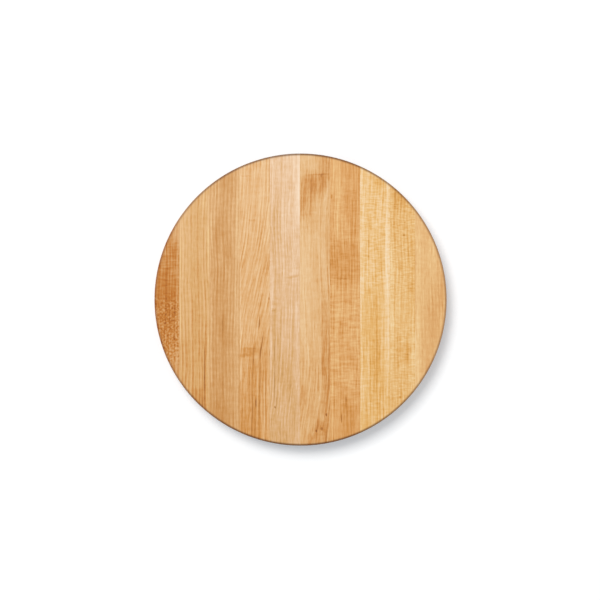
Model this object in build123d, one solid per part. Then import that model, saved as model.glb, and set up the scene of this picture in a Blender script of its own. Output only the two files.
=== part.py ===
"""Round chopping block of hard maple.

The block is edge-grain: long straight staves stand on edge side by side, a thin film of
wood glue between each two joins them into one panel, and the panel is then sawn to a disc,
sanded flush on both faces and eased round both rims, so that it can be used either way up.

Frame: millimetres, +Z up, origin at the centre of the underside. The staves run along Y
and are numbered from -X to +X. Each glue line has the number of the stave on its -X side.
"""

import os

from build123d import *

# The disc that is sawn from the glued panel: 18 inches across and 1.5 inches thick
block_diameter = 457.2
block_thickness = 38.1
rim_round_radius = 3.2

# The staves: the one at the -X rim measured from the rim, the others from joint to joint
rim_stave_width = 39.5
stave_width = 47.0
narrow_stave_width = 39.1

# The glue left between two staves once they are clamped
glue_thickness = 0.15

# How far the saw runs past the wood
saw_overrun = 5.0


def joint_places():
    """X of the middle of each glued joint, from -X to +X.

    After the stave at the -X rim come as many of full width as the disc has room for, and
    then the narrow one. The stave at the +X rim takes what is left, and is no narrower than
    the one at the -X rim.
    """
    first_joint = rim_stave_width - block_diameter / 2
    room_for_full_staves = block_diameter - 2 * rim_stave_width - narrow_stave_width
    full_staves = int(room_for_full_staves // stave_width)
    joints = [first_joint + count * stave_width for count in range(full_staves + 1)]
    return joints + [joints[-1] + narrow_stave_width]


def eased_disc():
    """The whole block's outer shape, with its quarter-round top and bottom rims."""
    disc = Cylinder(
        block_diameter / 2,
        block_thickness,
        align=(Align.CENTER, Align.CENTER, Align.MIN),
    )
    return fillet(disc.edges().filter_by(GeomType.CIRCLE), rim_round_radius)


def between(low_x, high_x):
    """A slab that takes in all of the block between two planes across X."""
    slab = Box(
        high_x - low_x,
        block_diameter + 2 * saw_overrun,
        block_thickness + 2 * saw_overrun,
    )
    return Pos((low_x + high_x) / 2, 0, block_thickness / 2) * slab


def staves(disc, joints):
    """The maple staves, each standing back from its joints by half a glue line."""
    rim_reach = block_diameter / 2 + saw_overrun
    low_sides = [-rim_reach] + [joint + glue_thickness / 2 for joint in joints]
    high_sides = [joint - glue_thickness / 2 for joint in joints] + [rim_reach]
    return [disc & between(low, high) for low, high in zip(low_sides, high_sides)]


def glue_lines(disc, joints):
    """The glue films, scraped and sanded flush with the wood all round."""
    return [
        disc & between(joint - glue_thickness / 2, joint + glue_thickness / 2)
        for joint in joints
    ]


def save(kind, pieces):
    """Writes each piece as its own numbered part."""
    for number, piece in enumerate(pieces, start=1):
        name = f"{kind}_{number:02d}"
        piece.label = name
        export_step(piece, f"parts/{name}.step")


os.makedirs("parts", exist_ok=True)
joints = joint_places()
disc = eased_disc()
save("stave", staves(disc, joints))
save("glue_line", glue_lines(disc, joints))
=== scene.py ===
"""Looks of the round chopping block: ten oiled hard maple staves, glued edge to edge."""

import math

import bmesh
import bpy
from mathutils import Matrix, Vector


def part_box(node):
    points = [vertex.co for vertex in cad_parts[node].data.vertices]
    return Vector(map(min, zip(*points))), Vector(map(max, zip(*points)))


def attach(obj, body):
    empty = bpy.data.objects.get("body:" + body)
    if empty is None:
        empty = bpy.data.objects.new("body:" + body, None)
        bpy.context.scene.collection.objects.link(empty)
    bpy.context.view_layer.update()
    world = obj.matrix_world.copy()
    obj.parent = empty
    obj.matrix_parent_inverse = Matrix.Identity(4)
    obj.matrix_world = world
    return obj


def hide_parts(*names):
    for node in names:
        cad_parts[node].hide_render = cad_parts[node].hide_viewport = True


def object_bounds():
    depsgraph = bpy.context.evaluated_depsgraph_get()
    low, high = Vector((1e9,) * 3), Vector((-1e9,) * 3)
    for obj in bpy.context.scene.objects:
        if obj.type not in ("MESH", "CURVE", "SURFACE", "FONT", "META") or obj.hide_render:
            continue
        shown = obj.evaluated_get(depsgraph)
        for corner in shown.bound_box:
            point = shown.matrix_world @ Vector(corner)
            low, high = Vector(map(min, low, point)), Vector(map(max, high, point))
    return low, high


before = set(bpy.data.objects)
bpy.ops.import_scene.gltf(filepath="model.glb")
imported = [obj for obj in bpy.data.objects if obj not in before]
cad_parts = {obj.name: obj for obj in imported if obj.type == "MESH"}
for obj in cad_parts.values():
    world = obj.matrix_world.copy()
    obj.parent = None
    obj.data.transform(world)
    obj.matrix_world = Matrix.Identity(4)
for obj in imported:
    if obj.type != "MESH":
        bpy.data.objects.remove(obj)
cad_low, cad_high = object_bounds()


# The maple staves
# Ten lengths of hard maple stand on edge side by side, glued into one panel. The panel is sawn to a disc,
# sanded flush and rounded over at both rims, so every stave is a slice of one disc with rounded rims.

mm = 0.001
disc_radius = (cad_high.y - cad_low.y) / 2
disc_thickness = cad_high.z
rim_round = 3.2 * mm
rim_segments = 720
round_segments = 8
cut_tolerance = 0.001 * mm


def sawn_stave(name, low_x, high_x):
    """A slice of the sawn and rounded disc, from low_x to high_x, with its glued sides closed."""
    shape = bmesh.new()
    bmesh.ops.create_circle(shape, cap_ends=True, segments=rim_segments, radius=disc_radius)
    lifted = bmesh.ops.extrude_face_region(shape, geom=shape.faces[:])
    top = [v for v in lifted["geom"] if isinstance(v, bmesh.types.BMVert)]
    bmesh.ops.translate(shape, verts=top, vec=(0, 0, disc_thickness))
    bmesh.ops.recalc_face_normals(shape, faces=shape.faces[:])
    rims = [e for e in shape.edges if abs(e.verts[0].co.z - e.verts[1].co.z) < cut_tolerance]
    bmesh.ops.bevel(
        shape,
        geom=rims,
        offset=rim_round,
        offset_type="OFFSET",
        segments=round_segments,
        profile=0.5,
        affect="EDGES",
        material=-1,
    )
    for side_x, outwards in ((low_x, -1), (high_x, 1)):
        if abs(side_x) > disc_radius - cut_tolerance:
            continue
        cut = bmesh.ops.bisect_plane(
            shape,
            geom=shape.verts[:] + shape.edges[:] + shape.faces[:],
            dist=cut_tolerance,
            plane_co=(side_x, 0, 0),
            plane_no=(outwards, 0, 0),
            clear_outer=True,
        )
        arris = [e for e in cut["geom_cut"] if isinstance(e, bmesh.types.BMEdge)]
        bmesh.ops.edgeloop_fill(shape, edges=arris)
        for edge in arris:
            edge.smooth = False
    bmesh.ops.recalc_face_normals(shape, faces=shape.faces[:])
    for face in shape.faces:
        face.smooth = True
    mesh = bpy.data.meshes.new(name)
    shape.to_mesh(mesh)
    shape.free()
    piece = bpy.data.objects.new(name, mesh)
    bpy.context.scene.collection.objects.link(piece)
    shading = piece.modifiers.new("flat_faces_stay_flat", "WEIGHTED_NORMAL")
    shading.keep_sharp = True
    return piece


def linear(tone):
    """An sRGB hex colour as the linear red, green, blue and alpha that a shader takes."""
    shares = [int(tone[place:place + 2], 16) / 255 for place in (1, 3, 5)]
    return [s / 12.92 if s <= 0.04045 else ((s + 0.055) / 1.055) ** 2.4 for s in shares] + [1]


def add(tree, kind, inputs, **settings):
    """Adds a shader node, makes its settings, and gives each input its value or its link."""
    node = tree.nodes.new("ShaderNode" + kind)
    for name, value in settings.items():
        setattr(node, name, value)
    for socket, value in inputs.items():
        if isinstance(value, bpy.types.NodeSocket):
            tree.links.new(value, node.inputs[socket])
        else:
            node.inputs[socket].default_value = value
    return node


# Hard maple, planed, sanded and wiped with oil: pale honey wood with soft darker growth lines and short
# fibres, satin to the touch. The oil darkens it where it soaks into cut fibre, at the rounded rims and
# above all on the end grain. Along the steep rounding of the rims a painted shade darkens it further.

# The wood's tones from pale to dark: a stave's own four colours stand at the first four, and the brown of
# a knot at the last.
tone_stops = (-0.4, 0.1, 0.5, 0.9, 1.8)
knot_brown = "#7A3E10"

# The stain of the oil and a painted shade of the steep rounding multiply the wood's colour, and both start
# a little inside the rounding of the rim.
rim_stain_and_shade = "#D4C9C8"
end_grain_stain_and_shade = "#98897E"
stain_and_shade_reach = 1.5 * mm

# Growth rings, with lengths in millimetres. Their width changes over a few years. Each darkens slowly up to
# its growth line, which is bolder in some years than in others and in some stretches along the grain.
ring_width = 5.2
years_of_even_growth = 4
growth_line_place = 0.75
faintest_growth_line = 0.4
mean_growth_line = 0.33
faint_stretch = 0.5
bold_stretch = 1.5

# The trunk wasn't straight, so the grain sways by a few millimetres over a hand's breadth.
sway_size = (90, 160, 90)
sway_reach = (14, 0, 14)

# Other patterns in the wood, by the width and the length of one blot in millimetres and by its levels of
# finer detail. Ripple is a faint wave of the fibres, 5 mm long. Real grain lines and fibres are 0.1 to
# 0.4 mm wide, too fine to show, so both are drawn as coarse as they need to be to show.
patterns = {
    "bands": (13, 210, 3),
    "stretches": (17, 70, 2),
    "lines": (1.8, 75, 2),
    "fibres": (0.9, 11, 2),
    "ripple": (14, 5, 2),
    "ragged edges": (3.2, 60, 2),
}
fibre_depth = 0.8
ripple_depth = 0.4

# Each stave takes its patterns from another place in the noise, so that no two are alike. Noise swings
# about its mean, and mostly within a narrow range.
step_between_staves = (31, 170, 0)
noise_mean = 0.5
usual_noise = (0.35, 0.65)

# Where a figure or a mark starts to fade and where it is gone, as shares of its half size. A mark's edge
# is ragged by a share of its half width and of its half length, and it reaches some way into the wood.
figure_fades = (0.7, 1.2)
mark_fades = (0.5, 1.3)
ragged_shares = (0.8, 1.6)
deepest_mark = 60

# Sanded to a satin surface, on which the oil has raised the darker fibres by a hair and left them a little
# rougher than the rest.
satin_roughness = (0.42, 0.6)
fibre_relief = 0.02 * mm
oil_ior = 1.47
oil_specular = 0.3


def grain_place(tree, place, along, middle_x, pith, bend):
    """The place in the log in millimetres from the pith, moved by the bend and the sway of the grain."""
    pith_place = (middle_x + pith[0] * mm, 0, disc_thickness / 2 + pith[1] * mm)
    log = add(
        tree,
        "Mapping",
        {"Vector": place, "Location": pith_place, "Scale": (mm, mm, mm)},
        vector_type="TEXTURE",
    ).outputs[0]
    low_y, high_y, sideways = bend
    bent = add(
        tree,
        "MapRange",
        {"Value": along, "From Min": low_y * mm, "From Max": high_y * mm, "To Max": -sideways},
        interpolation_type="SMOOTHSTEP",
    ).outputs["Result"]
    bent = add(tree, "CombineXYZ", {"X": bent}).outputs[0]
    slow = add(tree, "Mapping", {"Vector": log, "Scale": sway_size}, vector_type="TEXTURE").outputs[0]
    sway = add(tree, "TexNoise", {"Vector": slow, "Scale": 1, "Detail": 2}).outputs["Color"]
    sway = add(
        tree, "VectorMath", {0: sway, 1: (noise_mean, noise_mean, noise_mean)}, operation="SUBTRACT"
    ).outputs[0]
    sway = add(
        tree, "VectorMath", {0: sway, 1: sway_reach, 2: bent}, operation="MULTIPLY_ADD"
    ).outputs[0]
    return add(tree, "VectorMath", {0: log, 1: sway}, operation="ADD").outputs[0]


def growth_rings(tree, grown):
    """How dark the growth ring is at a place in the log, from nothing to one."""
    across = add(tree, "VectorMath", {0: grown, 1: (1, 0, 1)}, operation="MULTIPLY").outputs[0]
    from_pith = add(tree, "VectorMath", {0: across}, operation="LENGTH").outputs["Value"]
    uneven = add(
        tree,
        "TexNoise",
        {"W": from_pith, "Scale": 1 / (years_of_even_growth * ring_width), "Detail": 1},
        noise_dimensions="1D",
    ).outputs["Fac"]
    years = add(
        tree, "Math", {0: from_pith, 1: 1 / ring_width, 2: uneven}, operation="MULTIPLY_ADD"
    ).outputs[0]
    season = add(tree, "Math", {0: years}, operation="FRACT").outputs[0]
    year = add(tree, "Math", {0: years}, operation="FLOOR").outputs[0]
    boldness = add(tree, "TexWhiteNoise", {"W": year}, noise_dimensions="1D").outputs["Value"]
    boldness = add(
        tree, "MapRange", {"Value": boldness, "To Min": faintest_growth_line, "To Max": 1}
    ).outputs["Result"]
    ring = add(tree, "ValToRGB", {"Fac": season})
    ring.color_ramp.interpolation = "EASE"
    ring.color_ramp.elements[1].position = growth_line_place
    year_end = ring.color_ramp.elements.new(1.0)
    year_end.color = (0, 0, 0, 1)
    return add(tree, "Math", {0: ring.outputs["Color"], 1: boldness}, operation="MULTIPLY").outputs[0]


def grain_patterns(tree, grown, figures, number):
    """The noise of each pattern and figure, along the grain and in another place for each stave."""
    sizes = dict(patterns)
    for figure in figures:
        _, _, width, length, _ = figure
        sizes[figure] = (width, length, 2)
    noises = {}
    for pattern, (width, length, detail) in sizes.items():
        blots = add(
            tree,
            "Mapping",
            {
                "Vector": grown,
                "Location": [number * step for step in step_between_staves],
                "Scale": (width, length, width),
            },
            vector_type="TEXTURE",
        ).outputs[0]
        noises[pattern] = add(tree, "TexNoise", {"Vector": blots, "Scale": 1, "Detail": detail})
    return noises


def figure_share(tree, along, figure):
    """How strongly a figure shows: at its full depth at its middle Y, and not at all past its ends."""
    middle, half_length, _, _, depth = figure
    full, gone = (half_length * share * mm for share in figure_fades)
    away = add(tree, "Math", {0: along, 1: middle * mm}, operation="SUBTRACT").outputs[0]
    away = add(tree, "Math", {0: away}, operation="ABSOLUTE").outputs[0]
    return add(
        tree,
        "MapRange",
        {"Value": away, "From Min": full, "From Max": gone, "To Min": depth, "To Max": 0},
    ).outputs["Result"]


def marked(tree, tone, place, raggedness, marks):
    """The tone with each mark's change of tone added to it."""
    ragged = add(
        tree,
        "VectorMath",
        {0: raggedness, 1: (noise_mean, noise_mean, noise_mean)},
        operation="SUBTRACT",
    ).outputs[0]
    for x, y, half_width, half_length, lean, change in marks:
        reach = (ragged_shares[0] * half_width * mm, ragged_shares[1] * half_length * mm, 0)
        edge = add(
            tree, "VectorMath", {0: ragged, 1: reach, 2: place}, operation="MULTIPLY_ADD"
        ).outputs[0]
        near = add(
            tree,
            "Mapping",
            {
                "Vector": edge,
                "Location": (x * mm, y * mm, disc_thickness),
                "Rotation": (0, 0, math.radians(-lean)),
                "Scale": (half_width * mm, half_length * mm, min(half_length, deepest_mark) * mm),
            },
            vector_type="TEXTURE",
        ).outputs[0]
        far = add(tree, "VectorMath", {0: near}, operation="LENGTH").outputs["Value"]
        mark = add(
            tree,
            "MapRange",
            {
                "Value": far,
                "From Min": mark_fades[0],
                "From Max": mark_fades[1],
                "To Min": change,
                "To Max": 0,
            },
            interpolation_type="SMOOTHSTEP",
        ).outputs["Result"]
        tone = add(tree, "Math", {0: tone, 1: mark}, operation="ADD").outputs[0]
    return tone


def wood_colour(tree, tone, tones):
    """The colour that a tone has in this stave."""
    palest, darkest = tone_stops[0], tone_stops[-1]
    share = add(
        tree, "MapRange", {"Value": tone, "From Min": palest, "From Max": darkest}
    ).outputs["Result"]
    wood = add(tree, "ValToRGB", {"Fac": share})
    ramp = wood.color_ramp.elements
    for stop in tone_stops[1:-1]:
        ramp.new((stop - palest) / (darkest - palest))
    for element, colour in zip(ramp, (*tones, knot_brown)):
        element.color = linear(colour)
    return wood.outputs["Color"]


def stained_and_shaded_rim(tree, wood, place, along):
    """The wood's colour, stained by the oil and darkened with painted shade from just inside the rounded
    rim outwards, most on end grain.
    """
    from_axis = add(tree, "VectorMath", {0: place, 1: (1, 1, 0)}, operation="MULTIPLY").outputs[0]
    from_axis = add(tree, "VectorMath", {0: from_axis}, operation="LENGTH").outputs["Value"]
    rim = add(
        tree,
        "MapRange",
        {
            "Value": from_axis,
            "From Min": disc_radius - rim_round - stain_and_shade_reach,
            "From Max": disc_radius - rim_round / 2,
        },
        interpolation_type="SMOOTHSTEP",
    ).outputs["Result"]
    cut_across = add(tree, "Math", {0: along, 1: from_axis}, operation="DIVIDE").outputs[0]
    cut_across = add(tree, "Math", {0: cut_across, 1: 2}, operation="POWER").outputs[0]
    # The oil's stain together with the painted shade of the steep rounding, darker still on end grain.
    stain_and_painted_shade = add(
        tree,
        "Mix",
        {"Factor": cut_across, 6: linear(rim_stain_and_shade), 7: linear(end_grain_stain_and_shade)},
        data_type="RGBA",
    ).outputs[2]
    return add(
        tree, "Mix", {"Factor": rim, 6: wood, 7: stain_and_painted_shade}, data_type="RGBA", blend_type="MULTIPLY"
    ).outputs[2]


def oiled_maple(
    number, middle_x, tones, level, pith, marks, fall=0.0, bend=(-100, 100, 0), ring_depth=0.4,
    bands=0.45, lines=0.8, figures=(),
):
    """One stave's wood. Its middle_x is in metres, and all other lengths are in millimetres.

    tones are the palest, the pale, the usual and the deep tone of this stave. level says where
    between them it lies, and fall how much paler it is at its +Y end, the end towards
    the lamp: a painted sheen. The growth rings lie round a pith beside the stave, so they show as
    lines along its faces and as arcs on its ends. From bend's first to its second Y they move
    sideways by its third value. ring_depth, bands and lines say how far these swing the tone. Each
    figure is a stretch of cloudy pattern: its middle Y, its half length, the width and the length
    of one blot, and its depth. Each mark is an oval: its X, its Y, its half width, its half length,
    its lean in degrees towards +X going along +Y, and its change of tone, which is less than zero
    for a paler mark.
    """
    material = bpy.data.materials.new(f"oiled hard maple, stave {number}")
    material.use_nodes = True
    tree = material.node_tree
    tree.nodes.clear()
    place = add(tree, "TexCoord", {}).outputs["Object"]
    along = add(tree, "SeparateXYZ", {0: place}).outputs["Y"]
    grown = grain_place(tree, place, along, middle_x, pith, bend)
    noises = grain_patterns(tree, grown, figures, number)
    strength = add(
        tree,
        "MapRange",
        {
            "Value": noises["stretches"].outputs["Fac"],
            "From Min": usual_noise[0],
            "From Max": usual_noise[1],
            "To Min": faint_stretch * ring_depth,
            "To Max": bold_stretch * ring_depth,
        },
    ).outputs["Result"]
    fibres = noises["fibres"].outputs["Fac"]
    swings = [
        (growth_rings(tree, grown), mean_growth_line, strength),
        (noises["bands"].outputs["Fac"], noise_mean, bands),
        (noises["lines"].outputs["Fac"], noise_mean, lines),
        (fibres, noise_mean, fibre_depth),
        (noises["ripple"].outputs["Fac"], noise_mean, ripple_depth),
    ]
    for figure in figures:
        swings.append((noises[figure].outputs["Fac"], noise_mean, figure_share(tree, along, figure)))

    # The painted sheen: the tone is made paler towards the +Y end, the side where the lamp hangs.
    tone = add(
        tree, "Math", {0: along, 1: -fall / disc_radius, 2: level}, operation="MULTIPLY_ADD"
    ).outputs[0]
    for signal, mean, depth in swings:
        swing = add(tree, "Math", {0: signal, 1: mean}, operation="SUBTRACT").outputs[0]
        tone = add(tree, "Math", {0: swing, 1: depth, 2: tone}, operation="MULTIPLY_ADD").outputs[0]
    tone = marked(tree, tone, place, noises["ragged edges"].outputs["Color"], marks)
    colour = stained_and_shaded_rim(tree, wood_colour(tree, tone, tones), place, along)

    smooth, rough = satin_roughness
    roughness = add(
        tree, "MapRange", {"Value": fibres, "To Min": smooth, "To Max": rough}
    ).outputs["Result"]
    relief = add(
        tree, "Bump", {"Height": fibres, "Strength": 1, "Distance": fibre_relief}
    ).outputs["Normal"]
    surface = add(
        tree,
        "BsdfPrincipled",
        {
            "Base Color": colour,
            "Roughness": roughness,
            "Normal": relief,
            "IOR": oil_ior,
            "Specular IOR Level": oil_specular,
        },
    )
    add(tree, "OutputMaterial", {"Surface": surface.outputs["BSDF"]})
    return material


def stave(number, slot, **wood):
    """Makes stave number from the left, in place of its plain solid, with its own wood."""
    node = f"stave_{number:02d}"
    low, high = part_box(node)
    piece = sawn_stave(f"maple_{node}", low.x, high.x)
    piece.data.materials.append(oiled_maple(number, (low.x + high.x) / 2, **wood))
    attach(piece, "root")
    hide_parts(node)


# A cinnamon brown heart with pale ends, rippled above the middle and speckled below it.
stave(
    1,
    "cinnamon_maple",
    tones=("#DDB07A", "#CF9A61", "#C2823C", "#B66A10"),
    level=0.12,
    pith=(-110, 4),
    lines=1.2,
    figures=[(50, 44, 14, 3.6, 1.2), (-48, 55, 3.3, 3.3, 2.8)],
    marks=[
        # The heart, deepest along the rim.
        (-214, 0, 60, 112, 0, 0.42),
        (-212.5, -10, 15, 62, 0, 0.25),
        (-213, 55, 11, 40, 0, 0.12),
        # A paler edge at the joint.
        (-190.5, 0, 4, 229, 0, -0.16),
        (-194, 115, 5, 32, 0, -0.03),
    ],
)
# Straight and even, with a pale line at each joint, a dark mineral streak and a stained lower end.
stave(
    2,
    "tan_maple",
    tones=("#EAC88C", "#DEB380", "#D3A365", "#C5853F"),
    level=0.46,
    fall=0.22,
    ring_depth=0.58,
    bands=0.3,
    pith=(95, 12),
    marks=[
        # The pale line and strip at the left joint, and a deeper middle.
        (-187.8, 30, 1.3, 130, 0, -0.45),
        (-183, 40, 4.5, 170, 0, -0.12),
        (-162, 0, 7, 200, 0, 0.08),
        # The pale lines at the right joint.
        (-144.3, 105, 1.3, 70, 0, -0.38),
        (-150, 150, 7, 16, 0, -0.12),
        (-143.6, -90, 1.2, 90, 0, -0.4),
        (-147, -60, 2.2, 80, 0, -0.08),
        # The mineral streak, with a pale line and a brown one beside it.
        (-150.2, -110, 0.9, 60, 0, 1.0),
        (-158.6, -105, 1.3, 70, 0, -0.3),
        (-154.5, -50, 0.7, 50, 0, 0.2),
        # The stain at the lower end, and a deeper stretch above it.
        (-160, -156, 12, 18, 0, 0.26),
        (-178, -75, 7, 40, 0, 0.1),
    ],
)
# Tan brown, with redder blotches from end to end and a paler right side.
stave(
    3,
    "tan_maple",
    tones=("#EACB98", "#DDB17D", "#CC985D", "#BF8340"),
    level=0.47,
    fall=0.12,
    ring_depth=0.42,
    lines=0.65,
    pith=(-100, 8),
    marks=[
        # The paler right side and left joint.
        (-98.5, 30, 5.5, 240, 0, -0.22),
        (-140.3, 0, 1.8, 200, 0, -0.25),
        (-137, 155, 6, 40, 0, -0.1),
        # The blotches, and one paler place among them.
        (-119.5, 118, 7, 28, 0, 0.12),
        (-133, 100, 4, 16, 0, 0.12),
        (-131, 25, 4, 28, 0, 0.08),
        (-113, 75, 6, 22, 0, 0.14),
        (-122, 40, 5, 20, 0, 0.06),
        (-124, -42, 8, 20, 0, 0.18),
        (-110, -127, 5, 16, 0, -0.1),
        (-122, -185, 16, 25, 0, 0.15),
        (-128, 100, 5, 34, 0, 0.2),
        (-110, 185, 18, 24, 0, 0.15),
    ],
)
# Its grain leans in the middle and straightens at both ends. Below a red brown patch it turns deeper.
stave(
    4,
    "honey_maple",
    tones=("#F0D1A0", "#E3BB8B", "#D9A76D", "#C8883F"),
    level=0.42,
    fall=0.1,
    ring_depth=0.5,
    bands=0.35,
    lines=1.4,
    pith=(105, 10),
    bend=(-110, 160, 42),
    marks=[
        # Pale at the left joint and at the upper end, with two short cross lines.
        (-93.6, -20, 1.3, 110, 0, -0.3),
        (-87, 170, 8, 38, 0, -0.11),
        (-86, 193, 10, 1.6, 0, 0.2),
        (-76, 124, 7, 1.6, 0, 0.2),
        (-58, 150, 8, 36, 0, -0.13),
        (-50.5, 135, 2.6, 70, 0, -0.22),
        # The deeper lower end.
        (-78, -175, 19, 90, 0, 0.26),
        # The red brown patch.
        (-82, -82, 15, 8, -4, 0.24),
        (-82, -76.2, 13, 2, 0, 0.2),
        (-88, -87, 8, 3.2, -5, 0.26),
        # A speck at the joint and the dark mineral streaks.
        (-49.2, 2, 1.3, 2.4, 0, 0.45),
        (-64.3, -34, 0.9, 12, 5, 0.75),
        (-60.7, -69, 1.0, 24, 7, 0.75),
        (-63.5, -120, 0.8, 50, 0, 0.35),
        (-69.6, -162, 0.8, 8, 0, 0.75),
        # Softer bands, and a pale line at the right joint.
        (-91, -130, 1.5, 90, 0, 0.15),
        (-55, -185, 8, 45, 0, 0.16),
        (-70, -212, 8, 14, 0, 0.16),
        (-72, 212, 6, 10, 0, 0.18),
        (-71, -72, 6, 13, 0, 0.15),
        (-73, -150, 4, 80, 0, 0.18),
        (-56, -90, 9, 40, 0, 0.15),
        (-54, 55, 5, 25, 0, 0.18),
        (-50.5, -125, 2.4, 90, 0, -0.14),
    ],
)
# The palest, with white sapwood along the upper right, and a small swirl, a smudge and a pin knot.
stave(
    5,
    "cream_maple",
    tones=("#F3DCC0", "#EBCCAB", "#DDB488", "#CF9E60"),
    level=0.55,
    fall=0.22,
    ring_depth=0.26,
    lines=1.0,
    pith=(-95, 6),
    bend=(-230, -60, 12),
    marks=[
        # The white sapwood.
        (-2.8, 175, 2.4, 75, 0, -0.42),
        (-7, 140, 6, 120, 0, -0.15),
        # Soft bands to its left.
        (-40, 95, 10, 50, 0, 0.1),
        (-46, 20, 3, 50, 0, -0.2),
        (-25, 140, 3, 80, 0, 0.06),
        # The swirl.
        (-42, -30, 4, 40, 3, 0.2),
        (-42.5, -17, 3.6, 1.6, -10, 0.2),
        (-42, -11, 4, 3, 0, -0.15),
        # The smudge.
        (-12, 43, 10, 4, -15, -0.08),
        (-12, 35.5, 9, 2.1, -12, 0.24),
        # A thin line, and the pin knot below it.
        (-40.5, -110, 0.8, 60, 1, 0.4),
        (-40, -168, 1.3, 2, 0, 0.85),
        # Soft deeper and paler patches.
        (-24, -118, 15, 42, 0, 0.14),
        (-4.5, -140, 4, 90, 0, -0.2),
        (-16, -18, 6, 12, 0, -0.12),
        (-46.3, -90, 1.4, 70, 0, -0.2),
        (-6, -35, 5, 32, 0, -0.22),
        (-21, 125, 9, 36, 0, -0.1),
    ],
)
# A cinnamon wedge above, pale honey in the middle and a darker strip down its right side.
stave(
    6,
    "honey_maple",
    tones=("#EDD2A4", "#E3BC8B", "#D9A96F", "#C6853F"),
    level=0.42,
    fall=0.08,
    ring_depth=0.3,
    lines=1.1,
    pith=(100, 14),
    bend=(-230, -120, 10),
    marks=[
        # The wedge, with a fine line and a speck at its top, and a fine line below it.
        (9, 167, 15, 36, 6, 0.3),
        (9, 189, 13, 8, 0, 0.12),
        (28, 180, 14, 19, 8, 0.24),
        (38, 205, 11, 34, 0, 0.28),
        (28, 195.5, 16, 1.4, -3, 0.28),
        (32, 194, 1.2, 3, 0, 0.4),
        (10, 133, 12, 1.9, -6, 0.11),
        # The pale middle.
        (8, 10, 12, 120, 0, -0.25),
        (29, 75, 9, 60, 0, -0.14),
        # The deeper lower end.
        (14, -216, 10, 12, 0, 0.15),
        (29, -192, 6, 16, 0, 0.12),
        # The darker strip, with a blotch in it and a broader foot.
        (40, -100, 7, 125, 0, 0.28),
        (43, 140, 5, 80, 0, 0.15),
        (36, -112, 5, 6, 0, 0.15),
        (33, -210, 12, 22, 0, 0.26),
        # Pin knots.
        (24.5, -205.5, 1.5, 2.2, 0, 0.6),
        (33.5, -202, 2.0, 3.0, 0, 0.6),
        (40.2, -180, 1.4, 2.4, 0, 0.75),
    ],
)
# Amber, darkest in a block above the middle, with fine curl and a few short dark streaks.
stave(
    7,
    "amber_maple",
    tones=("#ECCA90", "#E1B276", "#D69D5D", "#C78539"),
    level=0.45,
    fall=0.08,
    ring_depth=0.28,
    lines=1.25,
    pith=(-105, 12),
    figures=[(-78, 95, 16, 3.6, 1.2), (80, 110, 14, 3, 0.7)],
    marks=[
        # The block, and the paler wood below it.
        (69, 57, 60, 33, 0, 0.2),
        (56, 72, 9, 24, 0, 0.1),
        (69, -35, 60, 60, 0, -0.16),
        # A deeper strip at the upper right, and soft patches.
        (83, 160, 13, 80, 0, 0.22),
        (67, 210, 7, 16, 0, 0.14),
        (69, -71, 4, 16, 0, -0.12),
        (54, 185, 9, 35, 0, -0.15),
        # The block's lower edge, with its fine lines.
        (68, 36, 26, 4.5, 0, 0.14),
        (60, 33, 13, 1.4, 1, 0.3),
        (58, 24, 14, 4, 0, 0.14),
        # A blotch by the left joint.
        (52, -43, 5, 14, 0, 0.16),
        # A pin knot with its streak.
        (48.5, 161, 1.8, 3.4, 0, 0.5),
        (49, 152, 0.9, 10, 0, 0.25),
        # Pale lines.
        (58, 130, 1.1, 60, 0, -0.18),
        (49, -120, 2.8, 105, 0, -0.2),
        (62.5, -25, 1.1, 16, 0, -0.2),
        # The short dark streaks, and the deeper wood beside them.
        (71, -162, 1.4, 10, 0, 0.4),
        (63.8, -185, 1.1, 8, 0, 0.7),
        (74, -195, 9, 40, 0, 0.15),
    ],
)
# Straw yellow and quilted above, with a cream strip along each side and an amber strip below.
stave(
    8,
    "straw_maple",
    tones=("#F0D9B6", "#EBC896", "#E2B470", "#D69B49"),
    level=0.42,
    fall=0.1,
    ring_depth=0.34,
    lines=1.05,
    pith=(90, 8),
    figures=[(100, 100, 11, 3, 1.2), (-95, 105, 12, 3, 0.7)],
    marks=[
        # The cream strip at the left joint.
        (95.5, 90, 3.8, 130, 0, -0.22),
        (96, -135, 3.2, 90, 0, -0.12),
        # A deeper band beside it.
        (101, -40, 5, 75, 0, 0.15),
        # The cream strip at the right joint.
        (136, 95, 4.2, 120, 0, -0.35),
        (135, -40, 5, 110, 0, -0.28),
        # The amber strip, and a blotch beside it.
        (117, -60, 8, 75, 0, 0.22),
        (104, 13, 8, 11, 0, 0.12),
        (121, -150, 11, 60, 0, 0.12),
        # Two fine lines across, and an amber smear at the upper end.
        (114, -118, 9, 1.3, 0, 0.12),
        (117, -127, 9, 1.3, 0, 0.12),
        (119, 185, 14, 6, 28, 0.2),
    ],
)
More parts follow.
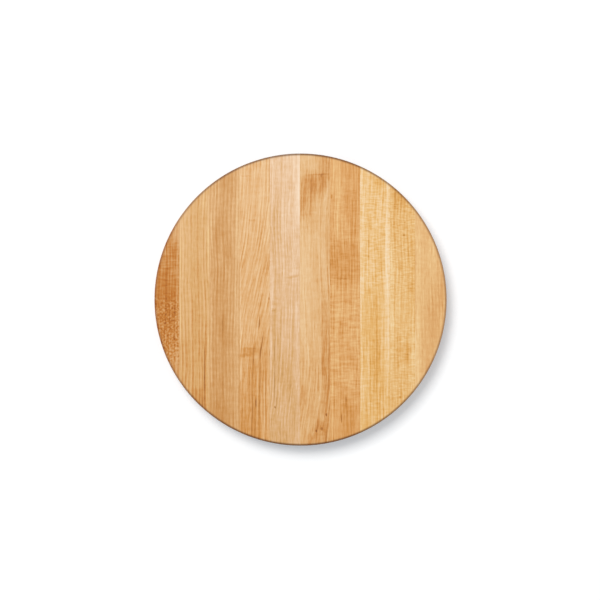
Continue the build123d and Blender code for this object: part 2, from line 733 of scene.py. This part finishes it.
# The narrow one: amber yellow with a fine ripple across it, more orange towards its upper end.
stave(
    9,
    "straw_maple",
    tones=("#F0D6A8", "#E9C58D", "#DFAF6C", "#D39848"),
    level=0.42,
    ring_depth=0.28,
    bands=0.3,
    lines=0.95,
    pith=(-90, 10),
    figures=[(80, 95, 9, 2.3, 1.3), (-100, 80, 10, 2.6, 1.1)],
    marks=[
        # The more orange upper end, and a paler spot below it.
        (155, 158, 11, 25, 0, 0.3),
        (148, 120, 6, 45, 0, 0.08),
        (147, 42, 7, 12, 0, -0.12),
        # Pin knots.
        (163, 121, 1.5, 1.7, 0, 0.5),
        (161.5, 101, 1.5, 1.9, 0, 0.5),
        # Pale bands at the joints, and deeper patches.
        (143.5, -25, 3.4, 125, 0, -0.28),
        (177, -95, 2.4, 80, 0, -0.18),
        (175, 42, 4, 48, 0, 0.18),
        (163, -82, 12, 13, 0, 0.14),
        # Thin darker lines.
        (144.5, -130, 0.9, 60, 0, 0.25),
        (152, -110, 0.9, 70, 0, 0.22),
        (168, -70, 0.9, 60, 0, 0.12),
        # Paler patches, and a pin knot near the lower end.
        (167, -20, 4, 40, 0, -0.15),
        (157, -10, 8, 75, 0, -0.06),
        (155.5, -152, 1.7, 2, 0, 0.6),
    ],
)
# Pinkish honey and smooth, with a pale strip at the joint and an orange one near the rim.
stave(
    10,
    "honey_maple",
    tones=("#F0D9B4", "#E9C38A", "#DCAB6F", "#CD9252"),
    level=0.42,
    pith=(100, 6),
    ring_depth=0.22,
    lines=0.5,
    marks=[
        # A deeper band inside the rim, and a paler one above it.
        (214, -10, 5, 50, 0, 0.1),
        (204, 66, 7, 38, 0, -0.2),
        # The pale strip at the joint.
        (183, -90, 5.5, 85, 0, -0.28),
        (184, 60, 5, 60, 0, -0.15),
        # Deeper patches.
        (197, -102, 6, 16, 0, 0.15),
        (203, -45, 14, 50, 0, 0.16),
        # The orange strip.
        (221, 10, 3.5, 32, 0, 0.25),
    ],
)


# The glue lines
# A film of wood glue cures in each joint and is sanded flush with the wood. It dries amber brown, paler
# where the film is thin, and glassier than the wood beside it.

amber_glue = "#BC8C58"
thin_glue = "#D2A470"
glue_blot = 6 * mm
glue_roughness = 0.35
glue_ior = 1.47
glue = bpy.data.materials.new("cured wood glue")
glue.use_nodes = True
glue_tree = glue.node_tree
glue_tree.nodes.clear()
glue_place = add(glue_tree, "TexCoord", {}).outputs["Object"]
squeeze = add(glue_tree, "TexNoise", {"Vector": glue_place, "Scale": 1 / glue_blot, "Detail": 2})
glue_colour = add(
    glue_tree,
    "Mix",
    {"Factor": squeeze.outputs["Fac"], 6: linear(amber_glue), 7: linear(thin_glue)},
    data_type="RGBA",
)
glue_surface = add(
    glue_tree,
    "BsdfPrincipled",
    {"Base Color": glue_colour.outputs[2], "Roughness": glue_roughness, "IOR": glue_ior},
)
add(glue_tree, "OutputMaterial", {"Surface": glue_surface.outputs["BSDF"]})
for name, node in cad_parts.items():
    if name.startswith("glue_line"):
        node.data.materials.clear()
        node.data.materials.append(glue)


# The studio floor
# The block lies on a plain floor of matt white paint. The floor reaches a hair above the block's
# underside, so the underside also shows from below.

floor_reach = 0.8
floor_sides = 64
floor_height = 0.05 * mm
floor_white = "#F4F1EE"
floor_shape = bmesh.new()
bmesh.ops.create_circle(floor_shape, cap_ends=True, segments=floor_sides, radius=floor_reach)
bmesh.ops.translate(floor_shape, verts=floor_shape.verts, vec=(0, 0, floor_height))
floor_mesh = bpy.data.meshes.new("floor")
floor_shape.to_mesh(floor_mesh)
floor_shape.free()
floor = bpy.data.objects.new("floor", floor_mesh)
bpy.context.scene.collection.objects.link(floor)
floor_paint = bpy.data.materials.new("white studio floor")
floor_paint.use_nodes = True
paint = floor_paint.node_tree
paint.nodes.clear()
matt = add(paint, "BsdfDiffuse", {"Color": linear(floor_white)}).outputs[0]

# To the camera alone the floor also glows a little, in a cool white, so that it is quite white where no
# shadow falls and the shadow is a cool grey.
cool_white = "#CFEAFF"
glow_share = 0.22
seen = add(paint, "LightPath", {}).outputs["Is Camera Ray"]
glow = add(paint, "Emission", {"Color": linear(cool_white), "Strength": seen}).outputs[0]
faint_glow = add(paint, "MixShader", {0: glow_share, 2: glow}).outputs[0]
both = add(paint, "AddShader", {0: matt, 1: faint_glow}).outputs[0]
add(paint, "OutputMaterial", {"Surface": both})
floor.data.materials.append(floor_paint)


# The light
# A large square soft lamp hangs high on the upper left, so the floor darkens only close to the rim at the
# lower right. The room is white to the camera and in a gloss, and lights the block more dimly than that.

room_light = 0.55
scene = bpy.context.scene
scene.world = bpy.data.worlds.new("white studio")
scene.world.use_nodes = True
room = scene.world.node_tree
room.nodes.clear()
ray = add(room, "LightPath", {}).outputs
shown = add(
    room, "Math", {0: ray["Is Camera Ray"], 1: ray["Is Glossy Ray"]}, operation="MAXIMUM"
).outputs[0]
strength = add(
    room, "MapRange", {"Value": shown, "To Min": room_light, "To Max": 1.0}
).outputs["Result"]
room_colour = add(room, "Background", {"Color": (1, 1, 1, 1), "Strength": strength}).outputs[0]
add(room, "OutputWorld", {"Surface": room_colour})

lamp_side = 2.7
lamp_distance = 6
lamp_slant = math.radians(29)
lamp_power = 217
upper_left = Vector((-0.61, 0.79, 0)).normalized()
lamp_from = upper_left * math.sin(lamp_slant)
lamp_from.z = math.cos(lamp_slant)
lamp_data = bpy.data.lights.new("soft key lamp", "AREA")
lamp_data.shape = "SQUARE"
lamp_data.size = lamp_side
lamp_data.energy = lamp_power
lamp = bpy.data.objects.new("soft key lamp", lamp_data)
scene.collection.objects.link(lamp)
lamp.location = lamp_from * lamp_distance
lamp.rotation_mode = "QUATERNION"
lamp.rotation_quaternion = lamp_from.to_track_quat("Z", "Y")


# The camera
# The photograph looks straight down. Its disc is 146.1 px in radius in a frame of 600 px, with its centre
# a little right of and above the frame's.

frame_px = 600
disc_radius_px = 146.1
centre_px = (300.55, 299.6)
lens = 85
sensor_width = 36
pixel = disc_radius / disc_radius_px
camera_data = bpy.data.cameras.new("camera")
camera_data.lens = lens
camera_data.sensor_width = sensor_width
camera = bpy.data.objects.new("camera", camera_data)
scene.collection.objects.link(camera)
camera.location = (
    (frame_px / 2 - centre_px[0]) * pixel,
    (centre_px[1] - frame_px / 2) * pixel,
    disc_thickness - rim_round + frame_px * pixel * lens / sensor_width,
)
scene.camera = camera
scene.view_settings.view_transform = "Standard"
